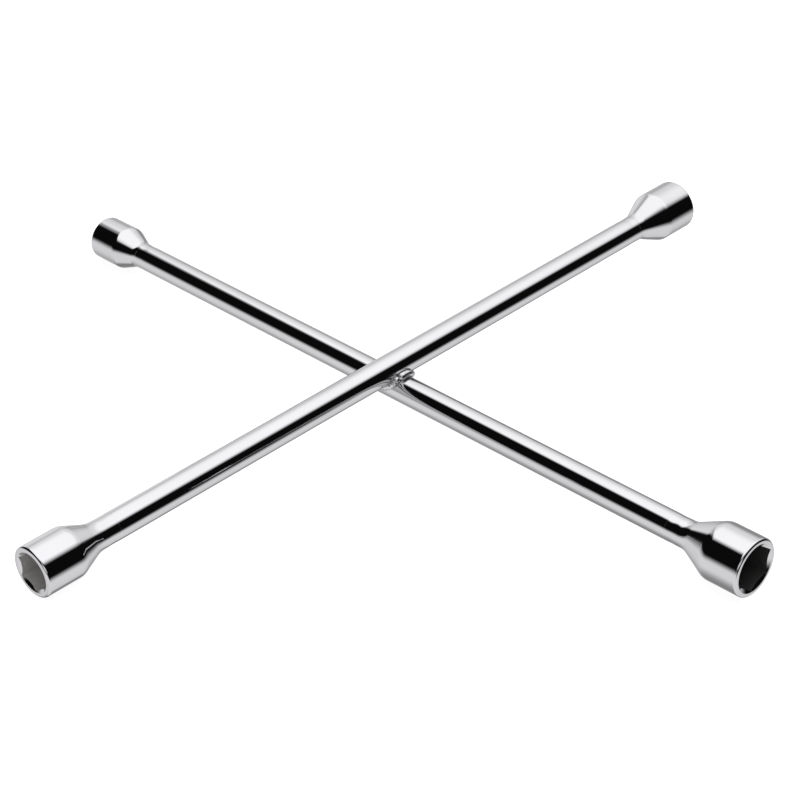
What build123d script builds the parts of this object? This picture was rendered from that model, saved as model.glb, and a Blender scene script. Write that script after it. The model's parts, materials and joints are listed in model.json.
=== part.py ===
from build123d import *
from dataclasses import dataclass
import math
import os

# Four-way lug wrench: two straight round steel bars cross at right angles, one over the
# other, and are welded where they cross. Each of the four ends carries a hexagon socket
# for wheel nuts, joined to its bar by a ground butt weld. The whole tool is chrome plated.
#
# Frame: the lower bar runs along X, the upper bar along Y, +Z is up. The origin is under
# the crossing, on the level of the lowest point of the largest socket. Millimetres.

# ---------------------------------------------------------------- driving dimensions

inch = 25.4

overall_length = 20 * inch      # mouth to mouth, the same along both bars
bar_diameter = 5 / 8 * inch
seat_depth = 2.54               # how deep each bar is pressed into the other at the crossing
socket_wall = 4.8               # metal outside the flats of a nut, on every socket


@dataclass
class SocketSize:
    node: str
    nut: float                  # wheel nut size across the flats
    body_length: float          # straight part, from the mouth to the shoulder
    cone_length: float          # from the shoulder down to the bar's diameter
    neck_radius: float          # hollow blend between the cone and the bar
    shoulder_radius: float      # round edge between the cone and the body
    hex_turn: float             # degrees between a hexagon corner and straight up

    @property
    def outer_diameter(self):
        return self.nut + 2 * socket_wall


socket_17mm = SocketSize(
    node="17mm", nut=17.0, body_length=21.5, cone_length=12.5,
    neck_radius=6.0, shoulder_radius=5.0, hex_turn=0.0)
socket_19mm = SocketSize(
    node="19mm", nut=19.0, body_length=23.6, cone_length=15.0,
    neck_radius=17.0, shoulder_radius=10.0, hex_turn=5.0)
socket_21mm = SocketSize(
    node="21mm", nut=21.0, body_length=22.8, cone_length=17.0,
    neck_radius=10.0, shoulder_radius=6.0, hex_turn=0.0)
socket_23mm = SocketSize(
    node="23mm", nut=23.0, body_length=22.6, cone_length=17.4,
    neck_radius=12.0, shoulder_radius=10.0, hex_turn=-8.0)

# Inside each socket
hex_clearance = 0.3             # hexagon across flats, over the nut size
hex_depth = 17.0
hex_corner_radius = 0.4
stud_bore_step = 0.9            # the round bore behind the hexagon is this much smaller in radius
stud_bore_length = 6.0          # room for the end of the wheel stud
drill_point_angle = 118.0
lead_in_depth = 1.2             # how far the mouth's chamfer reaches down the flats
lead_in_margin = 0.3            # how far the chamfer starts outside the hexagon's corners
rim_radius = 1.5                # round outer edge of the mouth

# Butt weld between a bar and a socket's tail
tail_land = 1.5                 # straight tail left between the neck's blend and the groove
groove_width = 8.0              # V groove, across the joint, filled with weld metal
groove_depth = 3.5
dressing_dip = 0.1              # hollow left where the weld was ground smooth

# Weld beads at the crossing
top_bead_radius = 2.3
top_bead_span = 34.0            # degrees each side of the lower bar's top
top_bead_lift = 1.5             # from the lower bar's surface to the bead's centre line
top_bead_stand_off = 1.8        # from the upper bar's side to the bead's centre line
under_bead_radius = 2.2
under_bead_span = 58.0          # degrees each side of the upper bar's lowest line
under_bead_lift = 0.6
under_bead_stand_off = 0.8

# ---------------------------------------------------------------- values that follow

half_length = overall_length / 2
bar_radius = bar_diameter / 2
axis_offset = bar_diameter - 2 * seat_depth

lower_sockets = (socket_17mm, socket_23mm)      # at -X, at +X
upper_sockets = (socket_19mm, socket_21mm)      # at -Y, at +Y

lower_reach = max(size.outer_diameter / 2 for size in lower_sockets)
upper_reach = max(size.outer_diameter / 2 for size in upper_sockets)
lower_axis_z = max(lower_reach, upper_reach - axis_offset)
upper_axis_z = lower_axis_z + axis_offset
seat_z = (lower_axis_z + upper_axis_z) / 2

up = Vector(0, 0, 1)
cut_margin = 5.0                # how far cutting tools run past what they cut
blend_room = 0.9                # share of the cone's slant that its two blends may take


def half_turn_tangent(size):
    """Tangent of half the angle between the cone and the axis."""
    rise = size.outer_diameter / 2 - bar_radius
    return math.tan(math.atan2(rise, size.cone_length) / 2)


def socket_blends(size):
    """Blend radii at the neck and shoulder, never longer than the cone has room for."""
    slant = math.hypot(size.outer_diameter / 2 - bar_radius, size.cone_length)
    needed = (size.neck_radius + size.shoulder_radius) * half_turn_tangent(size)
    share = min(1.0, blend_room * slant / needed)
    return size.neck_radius * share, size.shoulder_radius * share


def tail_length(size):
    """Straight tail behind the cone, as thick as the bar."""
    neck_blend = socket_blends(size)[0]
    return neck_blend * half_turn_tangent(size) + tail_land + groove_width / 2


def socket_length(size):
    return size.body_length + size.cone_length + tail_length(size)


def hex_flats(size):
    return size.nut + hex_clearance


def hex_corner_reach(size):
    return hex_flats(size) / math.sqrt(3)


def stud_bore_radius(size):
    return hex_flats(size) / 2 - stud_bore_step


# ---------------------------------------------------------------- sockets


def socket_blank(size):
    """Turned outside of a socket about Z: mouth at z = 0, tail towards -Z."""
    outer_radius = size.outer_diameter / 2
    tail_end = -socket_length(size)
    groove_edge = tail_end + groove_width / 2
    neck_z = -(size.body_length + size.cone_length)
    neck_blend, shoulder_blend = socket_blends(size)
    root = (bar_radius - groove_depth, 0, tail_end)
    tail_corner = (bar_radius, 0, groove_edge)
    outline = FilletPolyline(
        tail_corner,
        (bar_radius, 0, neck_z),
        (outer_radius, 0, -size.body_length),
        (outer_radius, 0, 0),
        (0, 0, 0),
        radius=[neck_blend, shoulder_blend, rim_radius])
    inside = Polyline((0, 0, 0), (0, 0, tail_end), root, tail_corner)
    return revolve(make_face(outline + inside), axis=Axis.Z)


def hexagon(size):
    outline = RegularPolygon(hex_flats(size) / 2, 6, major_radius=False)
    return fillet(outline.vertices(), hex_corner_radius)


def socket_cavity(size):
    """What is cut out of the mouth: hexagon, stud bore with a drill point, and lead-in."""
    hex_hole = extrude(Pos(0, 0, cut_margin) * hexagon(size), -(hex_depth + cut_margin))
    bore_radius = stud_bore_radius(size)
    bore_end = -(hex_depth + stud_bore_length)
    point_length = bore_radius / math.tan(math.radians(drill_point_angle / 2))
    bore_outline = Polyline(
        (0, 0, -hex_depth + cut_margin),
        (bore_radius, 0, -hex_depth + cut_margin),
        (bore_radius, 0, bore_end),
        (0, 0, bore_end - point_length),
        close=True)
    lead_in_radius = hex_corner_reach(size) + lead_in_margin
    slope = (hex_corner_reach(size) - hex_flats(size) / 2 + lead_in_margin) / lead_in_depth
    cone_outline = Polyline(
        (0, 0, cut_margin),
        (lead_in_radius + slope * cut_margin, 0, cut_margin),
        (0, 0, -lead_in_radius / slope),
        close=True)
    bore = revolve(make_face(bore_outline), axis=Axis.Z)
    lead_in = revolve(make_face(cone_outline), axis=Axis.Z)
    return Rot(0, 0, corner_up + size.hex_turn) * (hex_hole + bore + lead_in)


def first_corner_angle():
    """Angle of the hexagon's corner nearest to +X, so that a turn of 0 puts a corner up."""
    corners = RegularPolygon(1, 6).vertices()
    return min((math.degrees(math.atan2(v.Y, v.X)) for v in corners), key=abs)


corner_up = -first_corner_angle()


def mouth_place(outward, axis_z):
    """Plane at a socket's mouth: its normal points out, its x axis straight up."""
    centre = outward * half_length + up * axis_z
    return Plane(origin=centre, x_dir=up, z_dir=outward)


def make_socket(size, outward, axis_z):
    shape = socket_blank(size) - socket_cavity(size)
    return mouth_place(outward, axis_z).location * shape


# ---------------------------------------------------------------- butt welds at the necks


def make_neck_weld(size, outward, axis_z):
    """Weld metal that fills the V groove between bar and tail, ground slightly hollow."""
    groove_half = groove_width / 2
    inside = Polyline(
        (bar_radius, 0, groove_half),
        (bar_radius - groove_depth, 0, 0),
        (bar_radius, 0, -groove_half))
    ground = ThreePointArc(
        (bar_radius, 0, -groove_half),
        (bar_radius - dressing_dip, 0, 0),
        (bar_radius, 0, groove_half))
    ring = revolve(make_face(inside + ground), axis=Axis.Z)
    return mouth_place(outward, axis_z).location * Pos(0, 0, -socket_length(size)) * ring


# ---------------------------------------------------------------- bars


def round_bar(sockets):
    """Round bar about Z between two sockets' tails, its ends bevelled for the butt welds."""
    low_end = -(half_length - socket_length(sockets[0]))
    high_end = half_length - socket_length(sockets[1])
    groove_half = groove_width / 2
    root_radius = bar_radius - groove_depth
    outline = Polyline(
        (0, 0, low_end),
        (root_radius, 0, low_end),
        (bar_radius, 0, low_end + groove_half),
        (bar_radius, 0, high_end - groove_half),
        (root_radius, 0, high_end),
        (0, 0, high_end),
        close=True)
    return revolve(make_face(outline), axis=Axis.Z)


def lie_along(direction, axis_z):
    return Plane(origin=up * axis_z, x_dir=up, z_dir=direction).location


x_way = Vector(1, 0, 0)
y_way = Vector(0, 1, 0)

lower_round = lie_along(x_way, lower_axis_z) * round_bar(lower_sockets)
upper_round = lie_along(y_way, upper_axis_z) * round_bar(upper_sockets)

# Each bar gives up the half of the shared lens that lies on the other side of the seat,
# so the bars meet on a flat face and don't overlap.
seat_block = Box(2 * bar_diameter, 2 * bar_diameter, bar_diameter)
below_seat = Pos(0, 0, seat_z - bar_diameter / 2) * seat_block
above_seat = Pos(0, 0, seat_z + bar_diameter / 2) * seat_block

lower_bar = lower_round - (upper_round & above_seat)
upper_bar = upper_round - (lower_round & below_seat)


# ---------------------------------------------------------------- weld beads at the crossing


def bead_over_bar(bead_radius, span, lift):
    """Round bead that bends over the top of a bar lying along X through the origin."""
    first_end = Rot(-span, 0, 0) * Pos(0, 0, bar_radius + lift) * Rot(90, 0, 0)
    return revolve(first_end * Circle(bead_radius), axis=Axis.X, revolution_arc=2 * span)


crossed_bars = lower_round + upper_round


def make_top_bead():
    """In the crevice on the lower bar's top, against the upper bar's +X side."""
    bead = bead_over_bar(top_bead_radius, top_bead_span, top_bead_lift)
    place = Pos(bar_radius + top_bead_stand_off, 0, lower_axis_z)
    return place * bead - crossed_bars


def make_under_bead():
    """In the crevice under the upper bar, against the lower bar's -Y side."""
    bead = bead_over_bar(under_bead_radius, under_bead_span, under_bead_lift)
    place = Pos(0, -bar_radius - under_bead_stand_off, upper_axis_z) * Rot(180, 0, 90)
    return place * bead - crossed_bars


right_bead = make_top_bead()
left_bead = mirror(right_bead, about=Plane.YZ)
front_bead = make_under_bead() - right_bead - left_bead
rear_bead = mirror(front_bead, about=Plane.XZ)

# ---------------------------------------------------------------- the pieces

pieces = {
    "lower_bar": lower_bar,
    "upper_bar": upper_bar,
    "centre_weld_right": right_bead,
    "centre_weld_left": left_bead,
    "centre_weld_front": front_bead,
    "centre_weld_rear": rear_bead,
}

ends = (
    (lower_sockets[0], -x_way, lower_axis_z),
    (lower_sockets[1], x_way, lower_axis_z),
    (upper_sockets[0], -y_way, upper_axis_z),
    (upper_sockets[1], y_way, upper_axis_z),
)
for size, outward, axis_z in ends:
    pieces["socket_" + size.node] = make_socket(size, outward, axis_z)
    pieces["neck_weld_" + size.node] = make_neck_weld(size, outward, axis_z)

os.makedirs("parts", exist_ok=True)
for name, shape in pieces.items():
    export_step(shape, f"parts/{name}.step")
    print(name, round(shape.volume, 1), "mm3")

print("lower bar axis at z", lower_axis_z, "upper bar axis at z", upper_axis_z)
for size, outward, axis_z in ends:
    print("socket", size.node, "stud bore radius", stud_bore_radius(size),
          "hexagon flats", hex_flats(size), "length", socket_length(size))
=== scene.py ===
# %% [markdown]
# # A four-way lug wrench in bright chrome
#
# The wrench is two round steel bars that cross, one over the other, with a weld in every
# crevice of the crossing and a hexagon socket on each of the four ends. Nothing on it moves.
# The CAD model already holds the bars and sockets at their exact shape, so they stay and get
# a finish here. The welds are only plain solids there, so this script shapes them again: a
# weld's ripples and its ground hollow are what the eye looks for on a tool like this.

# %% Load the frame and keep its box
import json
import math

import bpy
import numpy as np
from mathutils import Matrix, Vector


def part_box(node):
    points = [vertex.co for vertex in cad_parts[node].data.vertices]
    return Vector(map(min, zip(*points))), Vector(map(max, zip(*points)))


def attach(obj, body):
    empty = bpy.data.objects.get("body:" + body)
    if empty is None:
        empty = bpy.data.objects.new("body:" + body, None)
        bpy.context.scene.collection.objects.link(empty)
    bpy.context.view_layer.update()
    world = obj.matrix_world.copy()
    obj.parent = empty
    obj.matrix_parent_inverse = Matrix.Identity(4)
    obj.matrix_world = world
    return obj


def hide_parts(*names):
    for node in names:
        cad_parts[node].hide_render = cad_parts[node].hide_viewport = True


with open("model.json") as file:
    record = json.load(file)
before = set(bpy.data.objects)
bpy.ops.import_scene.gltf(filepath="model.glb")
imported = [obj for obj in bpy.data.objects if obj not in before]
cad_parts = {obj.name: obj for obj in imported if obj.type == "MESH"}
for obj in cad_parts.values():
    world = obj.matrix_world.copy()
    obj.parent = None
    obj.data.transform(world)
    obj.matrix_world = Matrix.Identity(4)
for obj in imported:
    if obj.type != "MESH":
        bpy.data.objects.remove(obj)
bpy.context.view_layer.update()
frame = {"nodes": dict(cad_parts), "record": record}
mm = 0.001
mounts = {mount["name"]: mount for mount in frame["record"]["mounts"]}
print("nodes:", sorted(frame["nodes"]))

# %% [markdown]
# ## What the frame already knows
#
# The bars' boxes give their thickness and the heights of their axes. Each socket has two
# mounts: the hexagon's mount sits in the middle of the mouth and points out of it, and the
# stud bore's mount says where the round hole behind the hexagon starts. Reading those is
# better than typing the numbers again, since a changed size then reaches this file by itself.

# %% Bars: thickness, and heights above the ground
lower_low, lower_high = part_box("lower_bar")
upper_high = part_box("upper_bar")[1]
bar_radius = (lower_high.y - lower_low.y) / 2
lower_axis_z = lower_low.z + bar_radius
upper_axis_z = upper_high.z - bar_radius
seat_z = (lower_axis_z + upper_axis_z) / 2
print("bar radius", round(bar_radius / mm, 3), "mm, axes", round(lower_axis_z / mm, 3),
      "and", round(upper_axis_z / mm, 3), "mm up")


# %% Sockets: mouth, direction and the sizes of the hole
stud_bore_step = 0.9 * mm       # the stud bore's radius is this much less than the hexagon's
drill_point = math.radians(118 / 2)


def read_socket(size):
    """What one socket's node and its two mounts say about it."""
    hexagon, bore = mounts["hex_" + size], mounts["stud_bore_" + size]
    mouth, outward = Vector(hexagon["pos_m"]), Vector(hexagon["axis"])
    low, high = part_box("socket_" + size)
    spans = sorted(high - low)
    bore_radius = bore["dims"]["r_mm"] * mm
    bore_length = bore["dims"]["length_mm"] * mm
    flat = bore_radius + stud_bore_step
    hex_depth = (mouth - Vector(bore["pos_m"])).length - bore_length / 2
    return {
        "size": size, "mouth": mouth, "outward": outward,
        "radius": spans[0] / 2, "length": spans[2],
        "bore_radius": bore_radius, "hex_depth": hex_depth,
        "corner": flat / math.cos(math.pi / 6), "flat": flat,
        "hole_depth": hex_depth + bore_length + bore_radius / math.tan(drill_point),
    }


sockets = {size: read_socket(size) for size in ("17mm", "19mm", "21mm", "23mm")}
for size, socket in sockets.items():
    print(size, "outside", round(2 * socket["radius"] / mm, 2), "mm, hexagon",
          round(2 * socket["flat"] / mm, 2), "mm wide and", round(socket["hex_depth"] / mm, 2),
          "mm deep")

# %% [markdown]
# ## Skins made of rings
#
# Every weld here is a long or ring-shaped thing with a round section, so one helper makes
# them all: it takes rings of points and joins each ring to the next with quads. A ring whose
# points all lie in one place becomes a single point, which closes an end neatly. A curve with
# a bevel would give such a tube too, but its section could not swell and dip along the way,
# and the ripples of a weld are exactly that.

# %% Join rings of points into a mesh
point_like = 0.001 * mm         # a ring smaller than this becomes a single point


def skin(name, rings, closed=False, sharp=()):
    """Mesh object over a list of rings (each an n x 3 array). Rings in sharp keep a crease."""
    points, index = [], []
    for ring in rings:
        ring = np.asarray(ring, float)
        if np.ptp(ring, axis=0).max() < point_like:
            index.append([len(points)] * len(ring))
            points.append(ring[0])
        else:
            index.append(list(range(len(points), len(points) + len(ring))))
            points.extend(ring)
    pairs = list(zip(index, index[1:]))
    if closed:
        pairs.append((index[-1], index[0]))
    faces = []
    for near, far in pairs:
        for i in range(len(near)):
            k = (i + 1) % len(near)
            faces.append(tuple(dict.fromkeys((near[i], near[k], far[k], far[i]))))
    mesh = bpy.data.meshes.new(name)
    mesh.from_pydata([tuple(point) for point in points], [], faces)
    mesh.update()
    mesh.shade_smooth()
    creased = {frozenset((index[r][i], index[r][(i + 1) % len(index[r])]))
               for r in sharp for i in range(len(index[r]))}
    for edge in mesh.edges:
        if frozenset(edge.vertices) in creased:
            edge.use_edge_sharp = True
    piece = bpy.data.objects.new(name, mesh)
    bpy.context.scene.collection.objects.link(piece)
    print(name, len(mesh.vertices), "points,", len(mesh.polygons), "faces")
    return piece


def finish_weld(piece, node):
    """Hide the CAD node the piece replaces and hang the piece on the root body."""
    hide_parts(node)
    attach(piece, "root")
    return piece


# %% [markdown]
# ## The ground welds at the necks
#
# A socket's tail and its bar are joined by a ring of weld metal in a V groove, and the ring
# is ground until it nearly disappears. What is left of it is a hollow a tenth of a millimetre
# deep, which bends the reflections just before the neck. A hollow that starts abruptly would
# show as a hard chevron in chrome, so it follows a cosine, which meets the bar and the tail
# without a kink. The grinding wheel never runs quite true, so the hollow is a little
# shallower on some sides than on others.

# %% Neck welds
groove_width = 8.0 * mm
groove_depth = 3.5 * mm
dressing_dip = 0.1 * mm
shallowest = 0.6                # of the full dip, on the side that was ground least
neck_rows = 32
neck_columns = 96
neck_angles = np.arange(neck_columns) * 2 * math.pi / neck_columns


def ring_about(socket, reach, depth):
    """Ring of points about a socket's axis, at a depth behind its mouth."""
    up = Vector((0, 0, 1))
    side = socket["outward"].cross(up)
    centre = np.array(socket["mouth"] - socket["outward"] * depth)
    return (centre + np.outer(reach * np.cos(neck_angles), up)
            + np.outer(reach * np.sin(neck_angles), side))


def make_neck_weld(socket, lightest_side):
    middle = socket["length"]       # the joint, where the tail's box ends
    evenness = (1 + shallowest) / 2 + (1 - shallowest) / 2 * np.cos(neck_angles - lightest_side)
    rings = [ring_about(socket, np.full(neck_columns, bar_radius - groove_depth), middle)]
    for along in np.linspace(-1, 1, neck_rows + 1):
        dip = dressing_dip * evenness * (0.5 + 0.5 * math.cos(math.pi * along))
        rings.append(ring_about(socket, bar_radius - dip, middle - along * groove_width / 2))
    piece = skin("ground_weld_" + socket["size"], rings, closed=True, sharp=(0, 1, neck_rows + 1))
    return finish_weld(piece, "neck_weld_" + socket["size"])


ground_welds = [make_neck_weld(socket, lightest_side=1.1 + 1.7 * turn)
                for turn, socket in enumerate(sockets.values())]

# %% [markdown]
# ## The seam where the bars cross
#
# Two equal round bars that are pressed a little into each other meet along a closed seam
# shaped like the edge of a saddle. Weld metal fills the crevice all along it. The seam has an
# exact formula, so each bead can follow it: at every point the two bars' surfaces point in
# known directions, and the crevice opens halfway between the two.

# %% A point of the seam, the way out of the crevice, and the way along it
axis_gap = upper_axis_z - lower_axis_z
saddle = bar_radius - axis_gap / 2


def seam(turn):
    """Seam at an angle from +X: the point, the crevice's open side and the way along it."""
    z = saddle * math.cos(2 * turn)
    x = math.cos(turn) * math.sqrt(2 * saddle * (bar_radius - z + axis_gap / 2))
    y = math.sin(turn) * math.sqrt(2 * saddle * (bar_radius + z + axis_gap / 2))
    point = Vector((x, y, z + seat_z))
    off_lower = Vector((0, y, z + axis_gap / 2)) / bar_radius
    off_upper = Vector((x, 0, z - axis_gap / 2)) / bar_radius
    way_out = (off_lower + off_upper).normalized()
    way_along = off_lower.cross(off_upper).normalized()
    return point, way_out, way_along


for degrees in (0, 45, 90):
    print("seam at", degrees, "degrees:", [round(v / mm, 2) for v in seam(math.radians(degrees))[0]])

# %% [markdown]
# ## The weld beads
#
# A welder lays metal as a row of small puddles, and each freezes over the last one. The bead
# is a fat cord with shallow crescent ripples, less than a tenth of a millimetre high. Two
# beads sit on the lower bar's top, one each side of the upper bar. Two slightly thinner ones
# run under the upper bar, one each side of the lower bar. Each starts and stops in a rounded
# end, and sinks into the steel, as fused metal does.

# %% A bead along part of the seam
bead_sections = 220
bead_columns = 44
bead_angles = np.arange(bead_columns) * 2 * math.pi / bead_columns
seam_steps = 600
crescent_bow = 0.4              # how far a ripple bends back at the sides, in thicknesses
long_swell, short_swell = 2.3, 5.1      # pace of the unevenness along the bead
short_share = 0.6


def bead_rings(first, last, thickness, stand_off, ripple, pitch, wander):
    """Rings of a bead between two angles of the seam, closed by rounded ends."""
    turns = np.linspace(math.radians(first), math.radians(last), seam_steps)
    path = np.array([seam(t)[0] + seam(t)[1] * stand_off for t in turns])
    travelled = np.concatenate(([0], np.cumsum(np.linalg.norm(np.diff(path, axis=0), axis=1))))
    length = travelled[-1]
    rings = []
    for step in range(bead_sections + 1):
        s = length * (1 - math.cos(math.pi * step / bead_sections)) / 2
        turn = float(np.interp(s, travelled, turns))
        point, way_out, way_along = seam(turn)
        side = way_along.cross(way_out)
        to_end = min(s, length - s, thickness) / thickness
        fade = math.sqrt(max(0.0, 1 - (1 - to_end)**2))
        crescent = s + crescent_bow * thickness * np.sin(bead_angles)**2
        crest = (1 + np.cos(math.tau * crescent / pitch)) / 2
        swell = 1 + wander * (math.sin(long_swell * s / thickness)
                              + short_share * math.sin(short_swell * s / thickness))
        reach = fade * (thickness * swell + ripple * (crest - 1))
        centre = np.array(point + way_out * stand_off)
        rings.append(centre + np.outer(reach * np.cos(bead_angles), way_out)
                     + np.outer(reach * np.sin(bead_angles), side))
    return rings


# %% The four beads round the crossing
beads = {
    # from and to (degrees round the seam), thickness, stand-off, ripple, pitch, wander
    "right": (-19, 46, 2.2 * mm, 2.9 * mm, 0.03 * mm, 2.6 * mm, 0.02),
    "left": (140, 214, 2.2 * mm, 2.6 * mm, 0.07 * mm, 1.9 * mm, 0.03),
    "front": (-158, -14, 2.1 * mm, 1.5 * mm, 0.09 * mm, 1.6 * mm, 0.03),
    "rear": (22, 158, 2.1 * mm, 1.5 * mm, 0.09 * mm, 1.6 * mm, 0.03),
}
weld_beads = []
for side, numbers in beads.items():
    bead = skin("weld_bead_" + side, bead_rings(*numbers))
    weld_beads.append(finish_weld(bead, "centre_weld_" + side))

# %% [markdown]
# ## Writing shader maths as Python
#
# A finish is a small sum of masks and noises. Nodes wired by hand hide that sum, so one small
# class wraps an output socket and makes +, -, * and / add the Math nodes for us. Everything
# that isn't arithmetic comes from one method, `node`, which takes the node's type, its
# settings and what goes into its sockets.

# %% The class that wraps a socket


class Wire:
    """One output socket of a node tree, usable in arithmetic."""

    def __init__(self, tree, socket):
        self.tree, self.socket = tree, socket

    def node(self, kind, settings=None, inputs=None, output=0):
        return add_node(self.tree, kind, settings, inputs, output)

    def maths(self, operation, *values):
        return self.node("ShaderNodeMath", {"operation": operation}, dict(enumerate(values)))

    def __add__(self, other):
        return self.maths("ADD", self, other)

    def __mul__(self, other):
        return self.maths("MULTIPLY", self, other)

    def __sub__(self, other):
        return self.maths("SUBTRACT", self, other)

    def __rsub__(self, other):
        return self.maths("SUBTRACT", other, self)

    def __truediv__(self, other):
        return self.maths("DIVIDE", self, other)

    __radd__ = __add__
    __rmul__ = __mul__

    def below(self, limit):
        """1 where the value is under the limit, else 0."""
        return self.maths("LESS_THAN", self, limit)

    def ease(self, low, high):
        """0 below low, 1 above high, with a smooth step between."""
        return self.node("ShaderNodeMapRange", {"interpolation_type": "SMOOTHSTEP"},
                         {"Value": self, "From Min": low, "From Max": high})


def add_node(tree, kind, settings=None, inputs=None, output=0):
    """Add a node: its settings first, then the values or links of its sockets."""
    node = tree.nodes.new(kind)
    for name, value in (settings or {}).items():
        setattr(node, name, value)
    for name, value in (inputs or {}).items():
        if isinstance(value, Wire):
            tree.links.new(value.socket, node.inputs[name])
        else:
            node.inputs[name].default_value = value
    return Wire(tree, node.outputs[output])


# %% Helpers that every finish uses


def surface_place(tree, stretch=(1, 1, 1)):
    """The place on the piece in metres, stretched along the axes."""
    place = add_node(tree, "ShaderNodeTexCoord", output="Object")
    return place.node("ShaderNodeVectorMath", {"operation": "MULTIPLY"},
                      {0: place, 1: stretch})


def noise(place, scale, detail=2.0, roughness=0.5):
    return place.node("ShaderNodeTexNoise", None,
                      {"Vector": place, "Scale": scale, "Detail": detail,
                       "Roughness": roughness}, output="Fac")


def mix_colours(amount, first, second):
    mixed = amount.node("ShaderNodeMix", {"data_type": "RGBA"},
                        {"Factor": amount, "A": first, "B": second}, output="Result")
    return mixed


def bump(height, distance, strength=1.0):
    return height.node("ShaderNodeBump", None,
                       {"Height": height, "Distance": distance, "Strength": strength},
                       output="Normal")


# %% [markdown]
# ## The chrome
#
# Decorative chrome is a mirror with a slightly cool tint that sends back about three fifths
# of the light. What tells it from a perfect mirror is small: long soft waves from the drawing
# and polishing of the steel, a haze that only changes the gloss, and hair-fine scratches. The
# waves are a bump of a few micrometres, and the rest goes to roughness. The polishing marks
# run along a bar but around a socket, which was held in a lathe.

# %% A finish starts as an empty material with a metal shader
# Chromium sends back less light at a flat angle than a plain metal does. The tint is
# stronger than the true figure, so that a thin grey line draws every silhouette.
flat_angle_tint = (0.62, 0.62, 0.62, 1)


def start_finish(name):
    material = bpy.data.materials.new(name)
    material.use_nodes = True
    tree = material.node_tree
    tree.nodes.clear()
    shader = tree.nodes.new("ShaderNodeBsdfPrincipled")
    shader.inputs["Metallic"].default_value = 1.0
    shader.inputs["Specular Tint"].default_value = flat_angle_tint
    output = tree.nodes.new("ShaderNodeOutputMaterial")
    tree.links.new(shader.outputs["BSDF"], output.inputs["Surface"])
    return material, tree, shader


def feed(tree, shader, **wires):
    """Link each wire to the shader's socket of that name, with _ for a space."""
    for name, wire in wires.items():
        tree.links.new(wire.socket, shader.inputs[name.replace("_", " ")])


def wear_finish(piece, material):
    """Give a piece one finish in every slot it has."""
    piece.data.materials.clear()
    piece.data.materials.append(material)


# %% The parts that every chrome surface is mixed from
chrome_light = (0.612, 0.606, 0.619, 1)
chrome_dark = (0.564, 0.558, 0.569, 1)


def chrome_layers(tree, stretch, wave_height, haze, dullness=0.03):
    """Colour, roughness and height of bright chrome."""
    place = surface_place(tree)
    marks = surface_place(tree, stretch)
    streaks = noise(marks, 900, 3, 0.6)
    scratches = noise(marks, 5200, 2, 0.7).ease(0.64, 0.74)
    film = noise(place, 38, 3, 0.55).ease(0.42, 0.75)
    waves = noise(place, 70, 1, 0.4)
    colour = mix_colours(noise(place, 22, 2), chrome_light, chrome_dark)
    roughness = dullness + film * haze + scratches * 0.05
    height = waves * wave_height + streaks * (wave_height * 0.02)
    return colour, roughness, height


def bright_chrome(name, stretch, wave_height=6e-6, haze=0.03, dullness=0.03):
    material, tree, shader = start_finish(name)
    colour, roughness, height = chrome_layers(tree, stretch, wave_height, haze, dullness)
    feed(tree, shader, Base_Color=colour, Roughness=roughness, Normal=bump(height, 1.0))
    return material


# %% Chrome on the bars and the welds
along_x, along_y = (0.03, 1, 1), (1, 0.03, 1)
wear_finish(frame["nodes"]["lower_bar"], bright_chrome("chrome_lower_bar", along_x))
wear_finish(frame["nodes"]["upper_bar"], bright_chrome("chrome_upper_bar", along_y))
for weld in ground_welds:
    on_lower_bar = weld.name in ("ground_weld_17mm", "ground_weld_23mm")
    across = along_y if on_lower_bar else along_x
    wear_finish(weld, bright_chrome("chrome_" + weld.name, across, wave_height=9e-6))
bead_finish = bright_chrome("chrome_beads", (1, 1, 1), wave_height=1.2e-5, haze=0.1,
                            dullness=0.26)
for bead in weld_beads:
    wear_finish(bead, bead_finish)

# %% [markdown]
# ## Inside the hexagon
#
# Plating current hardly reaches into a hole, so the chrome inside a socket is thin and the
# steel stays as the broach left it: satin, greyer, and scored along the length. On top of that
# grey, each hole carries painted light and shade: the 23 mm hole is painted dark and the 19 mm
# one light, for the light that falls into each. Making the steel less metallic, by nearly half
# on the 19 mm socket, lets it scatter light evenly, which keeps a hole from going black where
# it faces a dark part of the room. A socket is one piece of metal with two finishes, so its
# material has to know where the hole is. It works that out from the distance to the socket's
# axis and the depth behind the mouth. The lead-in chamfer is left bright, since it was turned
# and polished with the outside.

# %% Where a point lies in a socket's hole
lead_in_depth = 1.2 * mm
lead_in_margin = 0.3 * mm
mask_margin = 0.1 * mm


def inside_hole(tree, socket):
    """1 on the walls of the hexagon and the stud bore, 0 on the chamfer and outside."""
    place = surface_place(tree)
    from_mouth = place.node("ShaderNodeVectorMath", {"operation": "SUBTRACT"},
                            {0: place, 1: socket["mouth"]})
    outward_distance = from_mouth.node("ShaderNodeVectorMath", {"operation": "DOT_PRODUCT"},
                                       {0: from_mouth, 1: socket["outward"]}, output="Value")
    along_axis = from_mouth.node("ShaderNodeVectorMath", {"operation": "MULTIPLY"},
                                 {0: from_mouth, 1: [abs(v) for v in socket["outward"]]})
    off_axis = from_mouth.node("ShaderNodeVectorMath", {"operation": "SUBTRACT"},
                               {0: from_mouth, 1: along_axis})
    reach = off_axis.node("ShaderNodeVectorMath", {"operation": "LENGTH"},
                          {0: off_axis}, output="Value")
    depth = 0 - outward_distance
    lead_in = socket["corner"] + lead_in_margin
    chamfer_depth = (lead_in - reach) * (lead_in_depth / (lead_in - socket["flat"]))
    in_hexagon = reach.below(socket["corner"] + mask_margin) * depth.below(
        socket["hex_depth"] + mask_margin)
    in_bore = reach.below(socket["bore_radius"] + mask_margin) * depth.below(
        socket["hole_depth"] + mask_margin)
    past_chamfer = (chamfer_depth - depth).below(-mask_margin)
    return in_hexagon.maths("MAXIMUM", in_hexagon, in_bore) * past_chamfer


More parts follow.
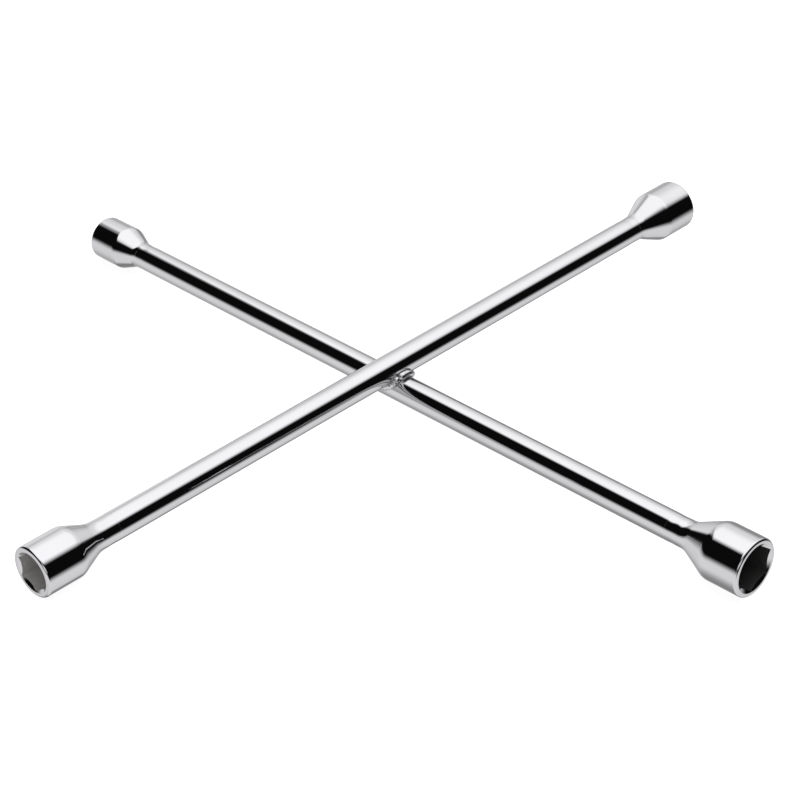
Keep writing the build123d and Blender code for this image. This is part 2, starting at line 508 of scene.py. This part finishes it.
# %% Chrome outside, satin steel inside
steel_tint = (1.0, 0.985, 0.965)
# Painted light and shade: each hole's steel is made lighter or darker for the light that reaches
# into it.
hole_tone_and_painted_light = {"17mm": 0.50, "19mm": 0.72, "21mm": 0.50, "23mm": 0.20}
hole_metal = {"17mm": 0.8, "19mm": 0.55, "21mm": 0.8, "23mm": 0.9}
worn_share = 0.7                # the darkest patches send back this much of the brightest


def steel(tone_and_painted_light):
    return [tone_and_painted_light * channel for channel in steel_tint] + [1]


def socket_finish(name, socket):
    material, tree, shader = start_finish(name)
    outward = [abs(v) > 0.5 for v in socket["outward"]]
    around = [1 if axis else 0.15 for axis in outward]
    lengthwise = [0.05 if axis else 1 for axis in outward]
    colour, roughness, height = chrome_layers(tree, around, wave_height=6e-6, haze=0.03)
    scores = noise(surface_place(tree, lengthwise), 1500, 3, 0.65)
    mottle = noise(surface_place(tree), 240, 3, 0.6)
    hole = inside_hole(tree, socket)
    # The hole's steel colour holds painted light and shade, lighter or darker per socket.
    tone_and_painted_light = hole_tone_and_painted_light[socket["size"]]
    hole_colour = mix_colours(mottle * 0.6 + scores * 0.4, steel(tone_and_painted_light * worn_share),
                              steel(tone_and_painted_light))
    steel_height = scores * 1.2e-5 + mottle * 6e-6
    feed(tree, shader,
         Base_Color=mix_colours(hole, colour, hole_colour),
         Metallic=1 - hole * (1 - hole_metal[socket["size"]]),
         Roughness=roughness * (1 - hole) + (0.34 + mottle * 0.12) * hole,
         Normal=bump(height * (1 - hole) + steel_height * hole, 1.0))
    return material


for size, socket in sockets.items():
    wear_finish(frame["nodes"]["socket_" + size], socket_finish("chrome_socket_" + size, socket))

# %% [markdown]
# ## The floor
#
# Laid on a table, the wrench tips until three sockets touch: both on the lower bar, and the
# 19 mm one on the upper bar. The part keeps its bars level, so here the table is tipped
# instead, through the lowest points of those three sockets. It is pale and mostly lit from
# within, like a light table, which keeps the shadows faint.

# %% A floor through three contact points
rim_round = 1.5 * mm


def lowest_point(size):
    socket = sockets[size]
    return (socket["mouth"] - socket["outward"] * rim_round
            - Vector((0, 0, socket["radius"])))


contacts = [lowest_point(size) for size in ("23mm", "17mm", "19mm")]
floor_normal = (contacts[1] - contacts[0]).cross(contacts[2] - contacts[0]).normalized()
if floor_normal.z < 0:
    floor_normal = -floor_normal
floor_gap = 0.05 * mm
floor_half = 4.0
corners = [(-floor_half, -floor_half, 0), (floor_half, -floor_half, 0),
           (floor_half, floor_half, 0), (-floor_half, floor_half, 0)]
floor_mesh = bpy.data.meshes.new("floor")
floor_mesh.from_pydata(corners, [], [(0, 1, 2, 3)])
floor = bpy.data.objects.new("floor", floor_mesh)
bpy.context.scene.collection.objects.link(floor)
foot = floor_normal * (contacts[0].dot(floor_normal) - floor_gap)
floor.matrix_world = (Matrix.Translation(foot)
                      @ floor_normal.to_track_quat("Z", "Y").to_matrix().to_4x4())
floor.visible_glossy = False
print("floor tips", round(math.degrees(floor_normal.angle(Vector((0, 0, 1)))), 2), "degrees")

# %% The floor's finish, see-through from below
floor_glow = 0.84
floor_material = bpy.data.materials.new("pale_table")
floor_material.use_nodes = True
floor_tree = floor_material.node_tree
floor_tree.nodes.clear()
glow = add_node(floor_tree, "ShaderNodeEmission", None,
                {"Color": (1, 1, 1, 1), "Strength": floor_glow})
matt = add_node(floor_tree, "ShaderNodeBsdfDiffuse", None, {"Color": (0.45, 0.45, 0.45, 1)})
table_top = add_node(floor_tree, "ShaderNodeAddShader", None, {0: glow, 1: matt})
clear = add_node(floor_tree, "ShaderNodeBsdfTransparent")
from_below = add_node(floor_tree, "ShaderNodeNewGeometry", output="Backfacing")
both_sides = add_node(floor_tree, "ShaderNodeMixShader", None,
                      {0: from_below, 1: table_top, 2: clear})
floor_output = floor_tree.nodes.new("ShaderNodeOutputMaterial")
floor_tree.links.new(both_sides.socket, floor_output.inputs["Surface"])
floor.data.materials.append(floor_material)

# %% [markdown]
# ## The light
#
# Chrome shows nothing but its surroundings, so lighting it means choosing what it reflects.
# A studio hangs a long white sheet over the work, which widens towards the back and runs
# down behind the table. It keeps both sides black, and the table itself is white. That gives
# each round bar a white top, a black band along its middle and a pale underside. The
# surroundings are worked out from the direction of a ray, in the world's shader: no card or
# lamp then shows a hard edge, and there is little noise. A soft window behind the camera
# lights the far sides, for whoever walks round the wrench.
#
# In the cells below, the two numbers of each `ease` say where an edge begins and where it is
# complete. They are parts of a direction, which run from -1 to 1, so an edge that ends beyond
# 1 is never complete. The overhead sheet's are slopes instead: how far out a ray goes for
# each step up, which makes the sheet's edges straight.

# %% Directions in the studio
camera_azimuth = math.radians(45.66)
to_camera = Vector((math.sin(camera_azimuth), -math.cos(camera_azimuth), 0))
to_right = Vector((math.cos(camera_azimuth), math.sin(camera_azimuth), 0))

world = bpy.data.worlds.new("studio")
bpy.context.scene.world = world
world.use_nodes = True
sky = world.node_tree
sky.nodes.clear()
direction = add_node(sky, "ShaderNodeTexCoord", output="Generated")


def component(axis):
    """How far the direction points along an axis, from -1 to 1."""
    return direction.node("ShaderNodeVectorMath", {"operation": "DOT_PRODUCT"},
                          {0: direction, 1: axis}, output="Value")


upward = component((0, 0, 1))
rightward = component(to_right)
backward = component(-to_camera)


def brightest(first, second):
    return first.maths("MAXIMUM", first, second)


# %% The white sheet overhead
lowest_slope = 0.02             # keeps the division below from blowing up at the horizon
above = upward.maths("MAXIMUM", upward, lowest_slope)
left_edge = (rightward / above).ease(-0.78, -0.48)
right_edge = 1 - ((rightward - 0.9 * backward) / above).ease(0.7, 1.7)
front_edge = 1 - ((0 - backward) / above).ease(0.25, 1.05)
sheet_foot = upward.ease(-0.28, 0.48)
sheet_light, zenith_light = 1.18, 0.38
sheet_glow = sheet_light + zenith_light * upward.ease(0.53, 0.83)
sheet = left_edge * right_edge * front_edge * sheet_foot * sheet_glow

# %% The sheet's lower end, behind the table
behind = backward.ease(0.0, 0.3)
between_sides = rightward.ease(-0.61, -0.48) * (1 - rightward.ease(0.74, 0.86))
between_heights = (1 - upward.ease(-0.29, 1.19)) * upward.ease(-0.48, -0.32)
backdrop_light, lost_to_right, lost_below = 1.75, 1.33, 0.2
backdrop_glow = ((backdrop_light - lost_to_right * rightward.ease(-0.60, 0.56))
                 * (1 - lost_below * (0 - upward).ease(0.4, 0.9)))
backdrop = behind * between_sides * between_heights * backdrop_glow

# %% The white table, with the wrench's own shade on it
table_edge = -0.05 - 0.32 * rightward.ease(-0.12, 0.24)
under_edge = 1 - (upward - table_edge).ease(-0.2, 0.2)
shade = (0 - upward).ease(0.53, 1.09) * (backward - 0.45 * rightward).ease(0.05, 0.3)
far_end = backward.ease(0.70, 0.80) * (1 - rightward.ease(0.30, 0.45))
table_light, lost_to_shade, lost_at_far_end = 1.06, 0.88, 0.6
table = under_edge * (table_light - lost_to_shade * shade) * (1 - lost_at_far_end * far_end)

# %% A soft window behind the camera
window_light = 0.9
window_sides = rightward.ease(-0.50, -0.38) * (1 - rightward.ease(0.34, 0.48))
window_height = upward.ease(0.06, 0.20) * (1 - upward.ease(0.50, 0.70))
window = window_light * (0 - backward).ease(0.70, 0.85) * window_sides * window_height

# %% Chrome sees the studio, the camera sees plain white behind the table
dark_room = 0.005
surroundings = brightest(brightest(sheet, backdrop), brightest(table, window)) + dark_room
studio_light = add_node(sky, "ShaderNodeBackground", None,
                        {"Color": (0.99, 0.99, 1.0, 1), "Strength": surroundings})
plain_white = add_node(sky, "ShaderNodeBackground", None, {"Color": (1, 1, 1, 1)})
seen_directly = add_node(sky, "ShaderNodeLightPath", output="Is Camera Ray")
chosen = add_node(sky, "ShaderNodeMixShader", None,
                  {0: seen_directly, 1: studio_light, 2: plain_white})
world_output = sky.nodes.new("ShaderNodeOutputWorld")
sky.links.new(chosen.socket, world_output.inputs["Surface"])
bpy.context.scene.view_settings.view_transform = "Standard"

# %% [markdown]
# ## The camera
#
# A long lens from well above the table keeps the four arms nearly equal in length. The
# camera leans by two degrees, because the wrench lies tipped on its table while the camera
# is level with that table.

# %% Camera
view_elevation = math.radians(33.49)
view_roll = math.radians(-2.11)
view_distance = 1.253
aim = Vector((8.5 * mm, -2.6 * mm, seat_z - 12.0 * mm))

back = to_camera * math.cos(view_elevation) + Vector((0, 0, math.sin(view_elevation)))
level_up = back.cross(to_right)
leaning_right = to_right * math.cos(view_roll) + level_up * math.sin(view_roll)
leaning_up = level_up * math.cos(view_roll) - to_right * math.sin(view_roll)
camera_data = bpy.data.cameras.new("camera")
camera_data.lens = 100.0
camera = bpy.data.objects.new("camera", camera_data)
bpy.context.scene.collection.objects.link(camera)
facing = Matrix((leaning_right, leaning_up, back)).transposed().to_4x4()
camera.matrix_world = Matrix.Translation(aim + back * view_distance) @ facing
bpy.context.scene.camera = camera
